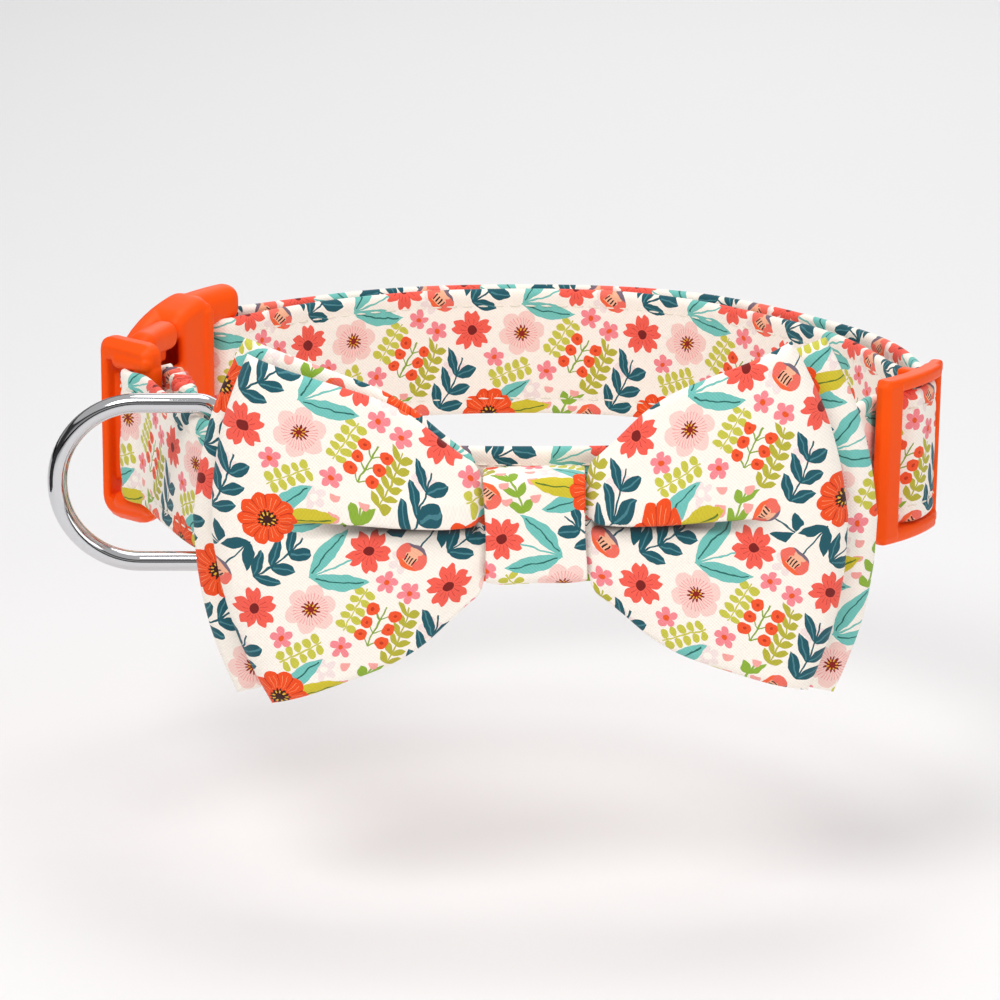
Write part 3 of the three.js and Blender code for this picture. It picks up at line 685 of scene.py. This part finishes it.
# The topstitching: cream thread, one stitch every 3.1 mm, on both faces.
thread_paint, thread_skin = surface("cream_thread", 0.7)
pen = Pen(thread_paint.node_tree)
twist = pen.mottle(pen.coordinates(), 2400.0, 1.0)
pen.dress(thread_skin, pen.paint(ink("E9DECB"), twist, ink("FBF6EA")))
stitch_size = Matrix.Diagonal((1.25 * MM, 0.19 * MM, 0.19 * MM, 1))
stitches = bmesh.new()
for stitch in range(int(strap_length / STITCH_PITCH)):
    travelled = (stitch + 0.5) * STITCH_PITCH
    place, left = route_place(strap_route, travelled / strap_length * strap_steps)
    heading = Matrix.Rotation(math.atan2(-left.x, left.y), 4, "Z")
    for height in (-STITCH_LINE, STITCH_LINE):
        for side in (1, -1):
            stand = -side * (STRAP_THICKNESS / 2 - 0.17) + strap_bend(travelled, height)
            spot = Vector((place.x + left.x * stand, place.y + left.y * stand, height)) * MM
            slant = Matrix.Rotation(math.radians(3 * side), 4, "Y")
            bmesh.ops.create_icosphere(stitches, subdivisions=1, radius=1.0,
                                       matrix=Matrix.Translation(spot) @ heading @ slant @ stitch_size)
stitching = finished("strap_stitching", stitches, thread_paint, "collar")


# ---- Buckle ----
# Moulded orange plastic. The curved socket holds the sprung insert, and each has a bar that the
# strap folds round. The parts are blended together as one moulding, with soft edges.

PLASTIC, plastic_skin = surface("orange_moulding")
plastic_skin.inputs["Specular IOR Level"].default_value = 0.35
plastic_skin.inputs["Specular Tint"].default_value = (1.0, 0.62, 0.42, 1)
plastic_skin.inputs["Subsurface Weight"].default_value = 0.06
plastic_skin.inputs["Subsurface Scale"].default_value = 0.002
pen = Pen(PLASTIC.node_tree)
where = pen.coordinates()
flow = pen.mottle(where, 90.0, 3.0)
pen.dress(plastic_skin, pen.paint(ink("F94C00"), flow, ink("FF5A06")), pen.num("MULTIPLY_ADD", flow, 0.16, 0.34),
          (pen.mottle(where, 3200.0, 2.0), 0.25, 0.05 * MM))


def soften(mesh, edges, offset, segments):
    bmesh.ops.bevel(mesh, geom=edges, offset=offset, segments=segments, profile=0.5, affect="EDGES", material=-1)


def lump(mesh, low, high, soft=0.8, segments=3):
    """Adds a block between two corners, in millimetres, with softened edges. Gives its vertices."""
    low, high = Vector(low), Vector(high)
    made = bmesh.ops.create_cube(mesh, size=1.0)["verts"]
    bmesh.ops.scale(mesh, verts=made, vec=high - low)
    bmesh.ops.translate(mesh, verts=made, vec=(low + high) / 2)
    edges = list({edge for vertex in made for edge in vertex.link_edges})
    before = set(mesh.verts) - set(made)
    soften(mesh, edges, soft, segments)
    return [vertex for vertex in mesh.verts if vertex not in before]


def bent_lump(mesh, arc, inner, outer, start, end, bottom, top, soft=0.8, segments=3):
    """Adds a block bent round an arc's middle, between two radii, two angles and two heights."""
    middle, radius = arc
    half = math.radians(end - start) / 2 * radius
    verts = lump(mesh, (-half, inner - radius, bottom), (half, outer - radius, top), soft, segments)
    for cut in range(1, int(half)):
        geom = [item for item in {*verts, *(edge for v in verts for edge in v.link_edges),
                                  *(face for v in verts for face in v.link_faces)}]
        split = bmesh.ops.bisect_plane(mesh, geom=geom, dist=1e-5, plane_co=(-half + 2 * cut, 0, 0),
                                       plane_no=(1, 0, 0))
        verts = list({*verts, *(item for item in split["geom_cut"] if isinstance(item, bmesh.types.BMVert))})
    for vertex in verts:
        angle = math.radians((start + end) / 2) + vertex.co.x / radius
        reach = radius + vertex.co.y
        vertex.co.x = middle[0] + reach * math.cos(angle)
        vertex.co.y = middle[1] + reach * math.sin(angle)
    return verts


def moulding(name, mesh, node, grain=0.27, rounds=5):
    """Blends overlapping blocks into one moulding, rounds its edges and puts it in a node's place."""
    bmesh.ops.scale(mesh, verts=mesh.verts, vec=(MM, MM, MM))
    bmesh.ops.recalc_face_normals(mesh, faces=mesh.faces)
    piece = finished(name, mesh, PLASTIC, "collar")
    blend = piece.modifiers.new("blend", "REMESH")
    blend.mode = "VOXEL"
    blend.voxel_size = grain * MM
    blend.use_smooth_shade = True
    ease = piece.modifiers.new("ease", "SMOOTH")
    ease.factor = 0.5
    ease.iterations = rounds
    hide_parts(node)


SOCKET_ARC = (SOCKET_MIDDLE, SOCKET_RADIUS)
SHOULDER = [(129, 18.4), (141, 18.1), (145, 17.3), (149, 15.9), (153, 13.9), (157, 11.2), (160, 9.4), (167, 9.0)]
shell = bmesh.new()
for block in (
        (62.4, 64.5, 139, 162, -17.5, 17.5),  # outer wall
        (55.5, 57.4, 139, 148, -17.0, 17.0),  # inner wall, open round the buttons
        (55.0, 57.4, 139, 141.2, -16.0, 16.0, 0.5),  # the strap slot's raised rim
        (55.5, 64.5, 139, 143, -16.0, 16.0, 1.0)):
    bent_lump(shell, SOCKET_ARC, *block)
for side in (-1, 1):
    low, high = sorted((side * 12.5, side * 18.4))
    bent_lump(shell, SOCKET_ARC, 55.5, 64.5, 139, 149.5, low, high, 2.6, 6)
    bent_lump(shell, SOCKET_ARC, 59.9, 64.5, 146, 162, low, high, 2.6, 6)
    bent_lump(shell, SOCKET_ARC, 56.9, 63.1, 129.5, 147, side * 14.7 - 3.7, side * 14.7 + 3.7, 2.9, 7)
for vertex in shell.verts:  # the ends narrow towards the mouth in one smooth shoulder
    bearing = math.degrees(math.atan2(vertex.co.y - SOCKET_MIDDLE[1], vertex.co.x - SOCKET_MIDDLE[0])) % 360
    vertex.co.z *= eased(SHOULDER, bearing) / 18.4
bent_lump(shell, SOCKET_ARC, 55.5, 57.4, 146, 165, -6.6, 6.6, 0.7)
bent_lump(shell, SOCKET_ARC, 58.5, 61.5, 131.1, 133.9, -14, 14, 1.0)
moulding("buckle_socket_moulding", shell, "buckle_socket")

# The insert's frame is made flat, from its near bar along +X, and then stood up and turned.
bezel = bmesh.new()
bezel_verts = bmesh.ops.create_cube(bezel, size=1.0)["verts"]
bmesh.ops.scale(bezel, verts=bezel_verts, vec=(13.6, 5.0, 34.8))
bmesh.ops.translate(bezel, verts=bezel_verts, vec=(3.9, 0, 0))
corners = [edge for edge in bezel.edges if abs(edge.verts[0].co.y - edge.verts[1].co.y) > 4]
for edge_end, radius in ((1, 2.6), (-1, 4.2)):
    chosen = [edge for edge in corners if edge.is_valid and edge.verts[0].co.z * edge_end > 0]
    soften(bezel, chosen, radius, 4)
rim = [edge for edge in bezel.edges if edge.calc_face_angle(0.0) > 1.2]
soften(bezel, rim, 1.5, 1)
broad = [face for face in bezel.faces if abs(face.normal.y) > 0.99]
bmesh.ops.inset_individual(bezel, faces=broad, thickness=1.0)
for vertex in {vertex for face in broad for vertex in face.verts}:
    vertex.co.x = 3.2 + max(-3.4, min(3.4, (vertex.co.x - 3.9) * 2))
    vertex.co.z = max(-13.3, min(13.3, vertex.co.z * 1.3))
window_edges = [edge for face in broad for edge in face.edges]
bmesh.ops.delete(bezel, geom=broad, context="FACES_ONLY")
bmesh.ops.bridge_loops(bezel, edges=window_edges)
sill = [edge for edge in bezel.edges if edge.calc_face_angle(0.0) > 1.2]
soften(bezel, sill, 0.9, 3)
lump(bezel, (5.6, -1.6, -13.6), (11.0, 1.6, 13.6), 1.2, 4)
for side in (-1, 1):
    low, high = sorted((side * 11.9, side * 15.4))
    lump(bezel, (0.8, -2.9, low), (10.5, 2.0, high), 1.6, 5)  # the roll that holds the strap's edge
stand_up = Matrix.Translation((*INSERT_BAR, 0)) @ Matrix.Rotation(math.radians(INSERT_HEADING), 4, "Z")
bmesh.ops.transform(bezel, matrix=stand_up, verts=bezel.verts)
bent_lump(bezel, SOCKET_ARC, 57.7, 62.3, 162, 170.5, -10.6, 10.6, 1.0)
bent_lump(bezel, SOCKET_ARC, 57.9, 62.1, 147, 164, -1.8, 1.8, 0.7)
for side in (-1, 1):
    bent_lump(bezel, SOCKET_ARC, 57.9, 62.1, 150, 164, side * 9 - 1.6, side * 9 + 1.6, 0.8)
    low, high = sorted((side * 10.2, side * 15.6))
    bent_lump(bezel, SOCKET_ARC, 54.9, 60.2, 149.8, 162.0, low, high, 2.2, 6)  # a button, pressed to open it
moulding("buckle_insert_moulding", bezel, "buckle_insert", grain=0.22, rounds=3)


# ---- Slider ----
# The three-bar slider is moulded in the same orange plastic and bent to the neck's curve. The
# strap passes under its outer bars and its end folds round the middle one.

SLIDER_ARC = (SLIDER_MIDDLE, SLIDER_RADIUS)
bars = bmesh.new()
bent_lump(bars, SLIDER_ARC, 38.7, 42.4, -48.2, -40.2, -15.5, 15.5, 1.2, 1)
bent_lump(bars, SLIDER_ARC, 39.2, 41.2, -17.0, -14.8, -15.0, 15.0, 0.6, 2)
for side in (-1, 1):
    low, high = sorted((side * 13, side * 15.5))
    for inner, outer, start, end, soft in (
            (38.7, 42.2, -47.0, -20, 0.7), (38.9, 41.4, -27, -14.8, 0.7), (36.1, 40.5, -32.0, -28.0, 0.6)):
        bent_lump(bars, SLIDER_ARC, inner, outer, start, end, low, high, soft, 2)
bent_lump(bars, SLIDER_ARC, 36.1, 37.9, -31.3, -28.7, -13.6, 13.6, 0.6, 2)
leaning = Matrix.Rotation(math.radians(-2.8), 4, arc_point((0, 0), 1, SLIDER_BARS[1]).to_3d())
slider_heart = arc_point(SLIDER_MIDDLE, SLIDER_RADIUS, SLIDER_BARS[1]).to_3d()
bmesh.ops.transform(bars, matrix=leaning, space=Matrix.Translation(-slider_heart), verts=bars.verts)
moulding("slider_moulding", bars, "slider", grain=0.2, rounds=3)


# ---- D-ring ----
# Chromed steel wire 3.6 mm thick, bent to a D 33 mm high. Its straight bar turns in the strap's
# sewn fold. It is drawn along the wire: straight runs are extruded and bends are spun.

chrome, plating = surface("polished_chrome")
plating.inputs["Metallic"].default_value = 1.0
plating.inputs["Base Color"].default_value = (0.64, 0.64, 0.655, 1)
pen = Pen(chrome.node_tree)
smear = pen.mottle(pen.coordinates(), 160.0, 3.0)
pen.tree.links.new(pen.num("MULTIPLY_ADD", smear, 0.07, 0.03), plating.inputs["Roughness"])

WIRE_RADIUS = 1.8
# From the middle of the straight bar to the wire's middle: up, round a corner and out to the bend.
RING_REACH, RING_CORNER, RING_STRAIGHT, RING_HEIGHT = 14.9, 4.2, 14.8, 0.2
wire = bmesh.new()
bmesh.ops.create_circle(wire, segments=28, radius=WIRE_RADIUS, matrix=Matrix.Identity(4))
front_loop = wire.edges[:]


def run_wire(mesh, loop, step):
    grown = bmesh.ops.extrude_edge_only(mesh, edges=loop)["geom"]
    bmesh.ops.translate(mesh, verts=[v for v in grown if isinstance(v, bmesh.types.BMVert)], vec=step)
    return [edge for edge in grown if isinstance(edge, bmesh.types.BMEdge)]


def bend_wire(mesh, loop, middle, turn, steps):
    grown = bmesh.ops.spin(mesh, geom=loop, cent=middle, axis=(0, 1, 0), angle=math.radians(turn), steps=steps)
    return [edge for edge in grown["geom_last"] if isinstance(edge, bmesh.types.BMEdge)]


rise = RING_REACH - RING_CORNER
front_loop = run_wire(wire, front_loop, (0, 0, rise))
front_loop = bend_wire(wire, front_loop, (-RING_CORNER, 0, rise), -90, 8)
front_loop = run_wire(wire, front_loop, (RING_CORNER - RING_STRAIGHT, 0, 0))
front_loop = bend_wire(wire, front_loop, (-RING_STRAIGHT, 0, 0), -180, 40)
front_loop = run_wire(wire, front_loop, (RING_STRAIGHT - RING_CORNER, 0, 0))
front_loop = bend_wire(wire, front_loop, (-RING_CORNER, 0, -rise), -90, 8)
front_loop = run_wire(wire, front_loop, (0, 0, rise))
bmesh.ops.remove_doubles(wire, verts=wire.verts, dist=0.01)
bmesh.ops.translate(wire, verts=wire.verts, vec=(*RING_BAR, RING_HEIGHT))
bmesh.ops.scale(wire, verts=wire.verts, vec=(MM, MM, MM))
bmesh.ops.recalc_face_normals(wire, faces=wire.faces)
ring_piece = finished("d_ring_wire", wire, chrome, "ring")
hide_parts("d_ring")


# ---- Elastic bands ----
# Two off-white woven elastic bands, 8 mm wide, are sewn behind the bow and slip over the strap.

ELASTIC_WIDTH, ELASTIC_THICKNESS = 8.0, 1.0
ELASTIC_BANDS = [("elastic_left", (-24, -54.2), -8), ("elastic_right", (24, -54.05), 10)]  # place, heading

elastic, elastic_skin = surface("woven_elastic", 0.85)
pen = Pen(elastic.node_tree)
drawn = pen.node("ShaderNodeUVMap", uv_map="cloth").outputs["UV"]
across, along = pen.split(pen.vec("MULTIPLY", drawn, (1000, 1000, 0)))
rib = pen.size(pen.num("SINE", pen.num("MULTIPLY", across, math.pi / 0.8)))
knit = pen.num("MULTIPLY", pen.num("SINE", pen.num("MULTIPLY", along, math.pi / 0.4)), 0.35)
raised_ribs = pen.num("ADD", rib, knit)
# Painted shade: the elastic is darker in the grooves between its raised ribs.
painted_rib_shade = pen.num("MULTIPLY", raised_ribs, 0.7, clamp=True)
pen.dress(elastic_skin, pen.paint(ink("D9D2C4"), painted_rib_shade, ink("F8F4EA")), bump=(raised_ribs, 0.6, 0.2 * MM))


def rounded_loop(depth, height, corner, pitch):
    """Even points round a rectangle with round corners, and its length: depth lies along X and
    height along Y."""
    right, top = depth / 2 - corner, height / 2 - corner
    line = []
    for x, y, start in ((right, top, 0), (-right, top, 90), (-right, -top, 180), (right, -top, 270)):
        line += [Vector((x, y)) + arc_point((0, 0), corner, start + turn) for turn in range(0, 91, 15)]
    line.append(line[0].copy())
    return evened(line, pitch)


def boxy(wave, power):
    """A wave between -1 and 1 with flatter crests."""
    return math.copysign(abs(wave) ** power, wave)


def cloth_band(loop, width, thickness, dent=None):
    """A closed band of cloth round a loop of points, standing across it: each point is (depth,
    across, height)."""
    points, length = loop
    steps = len(points) - 1
    mesh = bmesh.new()
    cloth = mesh.loops.layers.uv.new("cloth")
    bmesh.ops.create_grid(mesh, x_segments=steps, y_segments=36, size=1.0)
    on_cloth = {}
    for vertex in mesh.verts:
        travelled, turn = (vertex.co.x + 1) / 2, vertex.co.y * math.pi
        across = boxy(math.sin(turn), 0.35) * width / 2
        reach = (boxy(math.cos(turn), 0.6) - 1) * thickness / 2
        on_cloth[vertex] = Vector((across, -travelled * length)) * MM
        at = round(travelled * steps)
        here = points[at]
        along = (points[(at + 1) % steps] - points[(at - 1) % steps]).normalized()
        if dent:
            shift, narrow = dent(here, across)
            reach += shift
            across *= narrow
        vertex.co = Vector((here.x + along.y * reach, across, here.y - along.x * reach)) * MM
    lay_flat(mesh.faces, cloth, on_cloth)
    bmesh.ops.remove_doubles(mesh, verts=mesh.verts, dist=0.01 * MM)
    bmesh.ops.recalc_face_normals(mesh, faces=mesh.faces)
    return mesh


for name, (x, y), heading in ELASTIC_BANDS:
    band = cloth_band(rounded_loop(7.6, 28.0, 1.6, 0.8), ELASTIC_WIDTH, ELASTIC_THICKNESS)
    turn = Matrix.Rotation(math.radians(90 + heading), 4, "Z")
    bmesh.ops.transform(band, verts=band.verts, matrix=Matrix.Translation(
        (x * MM, y * MM, 0)) @ turn @ Matrix.Translation((-0.9 * MM, 0, 0)))
    band_piece = finished(name + "_band", band, elastic, "collar")
    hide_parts(name)


# ---- Bow ----
# Two layers of the printed cotton over stiffener, each pinched to a bow by the knot, the back
# one larger. A pleat runs along the middle of each front wing, its upper half over the lower.

BOW_MIDDLE = (2.7, -57.8)
BOW_TILT, BACK_TILT = 1.5, 0.1  # degrees in the bow's own plane
KNOT_WIDTH = 17.8
WING_HEIGHTS = [(0, 7.8), (9.0, 8.2), (10, 11.6), (12, 13.5), (15, 16.1), (20, 20.6), (25, 23.8),
                (31, 26.3), (48, 32.2)]
WING_EDGES = [(0, 8.6), (0.3, 7.6), (0.6, 5.4), (0.85, 2.3), (1, 0)]
PLEAT_DEPTHS = [(0, 0), (0.04, 0.9), (0.3, 1), (0.55, 0.6), (0.8, 0)]


def bow_layer(half_width, height, middle_depth, wing_depth, bulge, pleat, lean, flare, drop, tilt,
              hidden, roll_back):
    """One bow layer as a cloth wall: its outline, how far forward it bulges, and its pleats."""
    corner = half_width - WING_EDGES[0][1]
    scale = corner / WING_HEIGHTS[-1][0]
    knot_share = (KNOT_WIDTH / 2 + 0.5) / corner
    turn = Matrix.Rotation(-math.radians(tilt), 3, "Y")

    def spread(place):
        """The rows and columns crowd towards the rounded rims."""
        return crowded(place, 1.35)

    def spread_rows(place):
        """The rows crowd towards the pleat too."""
        return spread(place) - 0.17 * math.sin(math.pi * spread(place))

    def outline(across, up):
        share = abs(across)
        out = share * corner + eased(WING_EDGES, abs(up)) * share ** 4
        half = height * eased(WING_HEIGHTS, min(out, corner) / scale)
        wing = max(0.0, (share - knot_share) / (1 - knot_share))
        return out, half, wing

    def pleated(across, up, half, wing):
        """The pleat's strength here, and how far above it this is: -1 to 1 is within the turned cloth."""
        fold = pleat * eased(PLEAT_DEPTHS, wing)
        line = 1.2 + wing * (-0.4 if across > 0 else 1.4) + 1.45 * fold
        return fold, (up * half - line) / 2.4

    def shape(across, up, side):
        right = across > 0
        across, up = spread(across), spread_rows(up)
        out, half, wing = outline(across, up)
        ripple = math.sin(math.pi * math.sqrt(wing))
        swell = bulge * ripple * math.cos(up * 1.2)
        # The pleat: the cloth turns back under its own upper half, and comes down again behind it.
        fold, above = pleated(across, up, half, wing)
        curl = max(-1.0, min(1.0, above))
        tuck = -2.4 * math.sin(math.pi * curl) * fold
        fade = math.exp(-max(0.0, abs(above) - 1) * 0.4)
        step = math.tanh(2.2 * curl) * (1.5 if curl > 0 else 2.0) * fold * fade
        # Shallow folds fan out from the knot.
        fan = 0.5 * math.exp(-wing * 3.2) * math.sin(up * 9 + (1.3 if right else 0.4)) * min(1.0, wing * 9)
        soft = 0.55 * noise.noise(Vector((across * 2.1 + (5 if right else 0), up * 1.3, half_width * 0.1))) * wing
        roll = roll_back * max(0.0, (wing - 0.78) / 0.22) ** 2
        depth = middle_depth + (wing_depth - middle_depth) * wing ** 2 + swell + step + fan + soft - roll
        rim = max(max(0.0, (abs(up) - 0.93) / 0.07), max(0.0, (abs(across) - 0.95) / 0.05))
        pinch = 1 - 0.7 * min(1.0, fold) * math.exp(-above * above)
        puff = 1.2 + 1.5 * max(0.0, min(1.0, (wing - 0.7) / 0.3)) * (1 - up * up * 0.5)
        thick = pinch * puff * math.sqrt(max(0.0, 1 - 0.96 * min(1.0, rim) ** 2))
        x = math.copysign(out - flare * up * wing, across) - lean * wing * (up + 1) / 2
        y = -side * thick - depth + (puff - 1.2) * 0.9
        z = up * half - drop * wing + tuck
        return turn @ Vector((x, y, z)) + Vector((*BOW_MIDDLE, 0))

    def flat(across, up):
        across, up = spread(across), spread_rows(up)
        out, half, wing = outline(across, up)
        lost = hidden * (1 - wing) ** 1.5
        above = pleated(across, up, half, wing)[1]
        return math.copysign(out, across), up * half + lost * math.sin(math.pi / 2 * max(-1.0, min(1.0, above)))

    def crease(across, up):
        """Where painted shade darkens the cloth: deep in the pleat, just under the lip of the upper half."""
        across, up = spread(across), spread_rows(up)
        out, half, wing = outline(across, up)
        fold, above = pleated(across, up, half, wing)
        mouth = -0.72 - 0.38 * fold
        below, over = (mouth - above) / 0.5, (above - 0.35) / 0.15
        return max(0.0, 1 - max(0.0, below, over)) * min(1.0, fold)

    return cloth_wall(180, 130, shape, flat, crease)


back_mesh = bow_layer(61, 1.02, 3.1, -2.2, 0.8, 0.0, 0.0, 1.1, 0.8, BACK_TILT, 0.0, 0.5)
back_layer = finished("bow_back_layer", back_mesh, printed_cotton("bow_back_cloth", shift=(20.0, 9.0)),
                      "collar")
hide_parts("bow_back")
front_mesh = bow_layer(56.4, 1.0, 6.1, 7.5, 2.8, 1.25, 2.0, 0.0, 0.0, BOW_TILT, 5.0, 3.2)
# This cloth gets painted shade deep in the pleat, from the crease attribute.
front_cloth = printed_cotton("bow_front_cloth", shift=(10.0, 30.0), painted_fold_shade=True)
front_layer = finished("bow_front_layer", front_mesh, front_cloth, "collar")
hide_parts("bow_front")

# The knot: a band of the same cloth, folded to 17.8 mm, right round the pinched middle.


def knot_dent(here, across):
    """Slight creases across the knot's front, and edges that pull in a little."""
    front = max(0.0, -here.x / 4.7)
    crease = 0.35 * noise.noise(Vector((across * 0.22, here.y * 0.16, 4.0))) * front
    return crease - 0.12 * front * (across / 9) ** 2, 1 - 0.012 * math.cos(here.y * 0.35)


knot_loop = rounded_loop(9.4, 20.2, 2.4, 0.35)
knot = cloth_band(knot_loop, KNOT_WIDTH, 1.1, knot_dent)
bmesh.ops.transform(knot, verts=knot.verts, matrix=Matrix.Translation(Vector((*BOW_MIDDLE, 0)) * MM)
                    @ Matrix.Rotation(-math.radians(BOW_TILT), 4, "Y")
                    @ Matrix.Translation((0, -4.7 * MM, 0)) @ Matrix.Rotation(math.radians(90), 4, "Z"))
knot_piece = finished("bow_knot_band", knot, printed_cotton("bow_knot_cloth", shift=(9.0, 12.0)),
                      "collar")
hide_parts("bow_knot")
